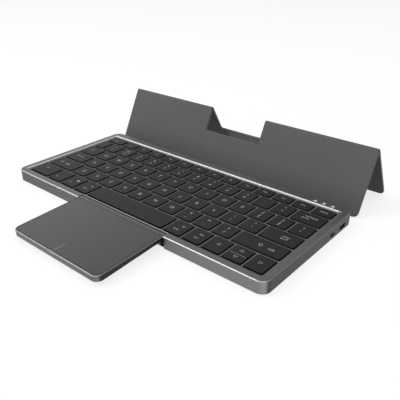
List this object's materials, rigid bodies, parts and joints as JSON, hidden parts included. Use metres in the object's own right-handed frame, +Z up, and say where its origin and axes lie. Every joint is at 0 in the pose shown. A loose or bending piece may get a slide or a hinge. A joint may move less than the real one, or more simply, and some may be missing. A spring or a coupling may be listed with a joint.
{
  "type": "folding keyboard",
  "caption": "Slim aluminium keyboard with scissor keys, a touchpad that folds out at the front, and a leather cover folded into a tent behind the keys as a tablet stand.",
  "frame": {"origin": "on the desk, under the middle of the whole object as it stands unfolded: half way across, and half way between the touchpad's front edge and the cover's rear foot", "axes": "+X to the user's right along the rows of keys, +Y away from the user, +Z up"},
  "size_m": [0.25, 0.2278, 0.0481],
  "materials": {
    "case_finish": "fine bead-blasted, anodised dark grey, bright cut edges",
    "key_web": "satin grey",
    "key_cap": "fine matt texture, pale legends",
    "steel": "plain stamped steel, nickel plated",
    "film": "printed polyester film",
    "dome_rubber": "soft silicone",
    "white_plastic": "moulded acetal",
    "board": "solder-masked circuit board",
    "foil": "pouch cell foil",
    "flex": "polyimide flat cable",
    "black_plastic": "fine matt",
    "lens": "diffusing clear plastic",
    "foot_rubber": "matt",
    "touch_film": "very fine etched glass, matt",
    "stiffener": "grey board",
    "cover_leather": "dark grey synthetic leather with a fine cross grain"
  },
  "bodies": {
    "case": {"top_case": "case_finish", "bottom_cover": "case_finish", "key_frame": "key_web", "key_plate": "steel", "switch_membrane": "film", "rubber_domes": "dome_rubber", "scissor_frames": "white_plastic", "main_board": "board", "battery": "foil", "battery_flex": "flex", "touchpad_flex": "flex", "usb_c_port": "steel", "power_switch_body": "black_plastic", "indicator_lenses": "lens", "rubber_feet": "foot_rubber", "case_screws": "steel", "deck_magnets": "steel", "touchpad_hinge_pins": "steel", "cover_spine": "cover_leather"},
    "touchpad": {"touchpad_frame": "case_finish", "click_switch": "steel"},
    "touch_plate": {"touch_surface": "touch_film", "touch_board": "board"},
    "power_knob": {"power_switch_knob": "black_plastic"},
    "cover_front": {"spine_bead": "cover_leather", "front_panel_skin": "cover_leather", "front_panel_board": "stiffener", "ridge_bead": "cover_leather"},
    "cover_rear": {"rear_panel_skin": "cover_leather", "rear_panel_board": "stiffener", "cover_magnets": "steel"},
    "key_escape": {"key_escape": "key_cap"},
    "key_delete": {"key_delete": "key_cap"},
    "key_grave": {"key_grave": "key_cap"},
    "key_backspace": {"key_backspace": "key_cap"},
    "key_tab": {"key_tab": "key_cap"},
    "key_backslash": {"key_backslash": "key_cap"},
    "key_caps": {"key_caps": "key_cap"},
    "key_enter": {"key_enter": "key_cap"},
    "key_shift_left": {"key_shift_left": "key_cap"},
    "key_shift_right": {"key_shift_right": "key_cap"},
    "key_ctrl_left": {"key_ctrl_left": "key_cap"},
    "key_fn": {"key_fn": "key_cap"},
    "key_system": {"key_system": "key_cap"},
    "key_alt_left": {"key_alt_left": "key_cap"},
    "key_space": {"key_space": "key_cap"},
    "key_alt_right": {"key_alt_right": "key_cap"},
    "key_ctrl_right": {"key_ctrl_right": "key_cap"},
    "key_left": {"key_left": "key_cap"},
    "key_up": {"key_up": "key_cap"},
    "key_down": {"key_down": "key_cap"},
    "key_right": {"key_right": "key_cap"},
    "function_keys": {"function_keys": "key_cap"},
    "number_keys": {"number_keys": "key_cap"},
    "keys_row_q": {"keys_row_q": "key_cap"},
    "keys_row_a": {"keys_row_a": "key_cap"},
    "keys_row_z": {"keys_row_z": "key_cap"}
  },
  "joints": [
    {"name": "touchpad_fold", "type": "hinge", "parent": "case", "child": "touchpad", "pos_m": [0, -0.05675, 0.00535], "axis": [1, 0, 0], "range_deg": [0, 177.9]},
    {"name": "touch_click", "type": "hinge", "parent": "touchpad", "child": "touch_plate", "pos_m": [0, -0.05804, 0.00906], "axis": [1, 0, 0], "range_deg": [0, 0.28], "stiffness_Nm_per_rad": 8, "springref_deg": -0.11},
    {"name": "power_slide", "type": "slide", "parent": "case", "child": "power_knob", "axis": [0, 1, 0], "range_m": [0, 0.002]},
    {"name": "cover_fold", "type": "hinge", "parent": "case", "child": "cover_front", "pos_m": [0, 0.05774, 0.005], "axis": [1, 0, 0], "range_deg": [0, 116.5]},
    {"name": "ridge_fold", "type": "hinge", "parent": "cover_front", "child": "cover_rear", "pos_m": [0, 0.08578, 0.04689], "axis": [1, 0, 0], "range_deg": [0, 123.2]},
    {"name": "press_escape", "type": "slide", "parent": "case", "child": "key_escape", "axis": [0, 0, -1], "range_m": [0, 0.0012], "stiffness_N_per_m": 300, "springref_m": -0.0006},
    {"name": "press_delete", "type": "slide", "parent": "case", "child": "key_delete", "axis": [0, 0, -1], "range_m": [0, 0.0012], "stiffness_N_per_m": 300, "springref_m": -0.0006},
    {"name": "press_grave", "type": "slide", "parent": "case", "child": "key_grave", "axis": [0, 0, -1], "range_m": [0, 0.0012], "stiffness_N_per_m": 300, "springref_m": -0.0006},
    {"name": "press_backspace", "type": "slide", "parent": "case", "child": "key_backspace", "axis": [0, 0, -1], "range_m": [0, 0.0012], "stiffness_N_per_m": 300, "springref_m": -0.0006},
    {"name": "press_tab", "type": "slide", "parent": "case", "child": "key_tab", "axis": [0, 0, -1], "range_m": [0, 0.0012], "stiffness_N_per_m": 300, "springref_m": -0.0006},
    {"name": "press_backslash", "type": "slide", "parent": "case", "child": "key_backslash", "axis": [0, 0, -1], "range_m": [0, 0.0012], "stiffness_N_per_m": 300, "springref_m": -0.0006},
    {"name": "press_caps", "type": "slide", "parent": "case", "child": "key_caps", "axis": [0, 0, -1], "range_m": [0, 0.0012], "stiffness_N_per_m": 300, "springref_m": -0.0006},
    {"name": "press_enter", "type": "slide", "parent": "case", "child": "key_enter", "axis": [0, 0, -1], "range_m": [0, 0.0012], "stiffness_N_per_m": 300, "springref_m": -0.0006},
    {"name": "press_shift_left", "type": "slide", "parent": "case", "child": "key_shift_left", "axis": [0, 0, -1], "range_m": [0, 0.0012], "stiffness_N_per_m": 300, "springref_m": -0.0006},
    {"name": "press_shift_right", "type": "slide", "parent": "case", "child": "key_shift_right", "axis": [0, 0, -1], "range_m": [0, 0.0012], "stiffness_N_per_m": 300, "springref_m": -0.0006},
    {"name": "press_ctrl_left", "type": "slide", "parent": "case", "child": "key_ctrl_left", "axis": [0, 0, -1], "range_m": [0, 0.0012], "stiffness_N_per_m": 300, "springref_m": -0.0006},
    {"name": "press_fn", "type": "slide", "parent": "case", "child": "key_fn", "axis": [0, 0, -1], "range_m": [0, 0.0012], "stiffness_N_per_m": 300, "springref_m": -0.0006},
    {"name": "press_system", "type": "slide", "parent": "case", "child": "key_system", "axis": [0, 0, -1], "range_m": [0, 0.0012], "stiffness_N_per_m": 300, "springref_m": -0.0006},
    {"name": "press_alt_left", "type": "slide", "parent": "case", "child": "key_alt_left", "axis": [0, 0, -1], "range_m": [0, 0.0012], "stiffness_N_per_m": 300, "springref_m": -0.0006},
    {"name": "press_space", "type": "slide", "parent": "case", "child": "key_space", "axis": [0, 0, -1], "range_m": [0, 0.0012], "stiffness_N_per_m": 300, "springref_m": -0.0006},
    {"name": "press_alt_right", "type": "slide", "parent": "case", "child": "key_alt_right", "axis": [0, 0, -1], "range_m": [0, 0.0012], "stiffness_N_per_m": 300, "springref_m": -0.0006},
    {"name": "press_ctrl_right", "type": "slide", "parent": "case", "child": "key_ctrl_right", "axis": [0, 0, -1], "range_m": [0, 0.0012], "stiffness_N_per_m": 300, "springref_m": -0.0006},
    {"name": "press_left", "type": "slide", "parent": "case", "child": "key_left", "axis": [0, 0, -1], "range_m": [0, 0.0012], "stiffness_N_per_m": 300, "springref_m": -0.0006},
    {"name": "press_up", "type": "slide", "parent": "case", "child": "key_up", "axis": [0, 0, -1], "range_m": [0, 0.0012], "stiffness_N_per_m": 300, "springref_m": -0.0006},
    {"name": "press_down", "type": "slide", "parent": "case", "child": "key_down", "axis": [0, 0, -1], "range_m": [0, 0.0012], "stiffness_N_per_m": 300, "springref_m": -0.0006},
    {"name": "press_right", "type": "slide", "parent": "case", "child": "key_right", "axis": [0, 0, -1], "range_m": [0, 0.0012], "stiffness_N_per_m": 300, "springref_m": -0.0006},
    {"name": "press_function_keys", "type": "slide", "parent": "case", "child": "function_keys", "axis": [0, 0, -1], "range_m": [0, 0.0012], "stiffness_N_per_m": 3600, "springref_m": -0.0006},
    {"name": "press_number_keys", "type": "slide", "parent": "case", "child": "number_keys", "axis": [0, 0, -1], "range_m": [0, 0.0012], "stiffness_N_per_m": 3600, "springref_m": -0.0006},
    {"name": "press_keys_row_q", "type": "slide", "parent": "case", "child": "keys_row_q", "axis": [0, 0, -1], "range_m": [0, 0.0012], "stiffness_N_per_m": 3600, "springref_m": -0.0006},
    {"name": "press_keys_row_a", "type": "slide", "parent": "case", "child": "keys_row_a", "axis": [0, 0, -1], "range_m": [0, 0.0012], "stiffness_N_per_m": 3300, "springref_m": -0.0006},
    {"name": "press_keys_row_z", "type": "slide", "parent": "case", "child": "keys_row_z", "axis": [0, 0, -1], "range_m": [0, 0.0012], "stiffness_N_per_m": 3000, "springref_m": -0.0006}
  ]
}
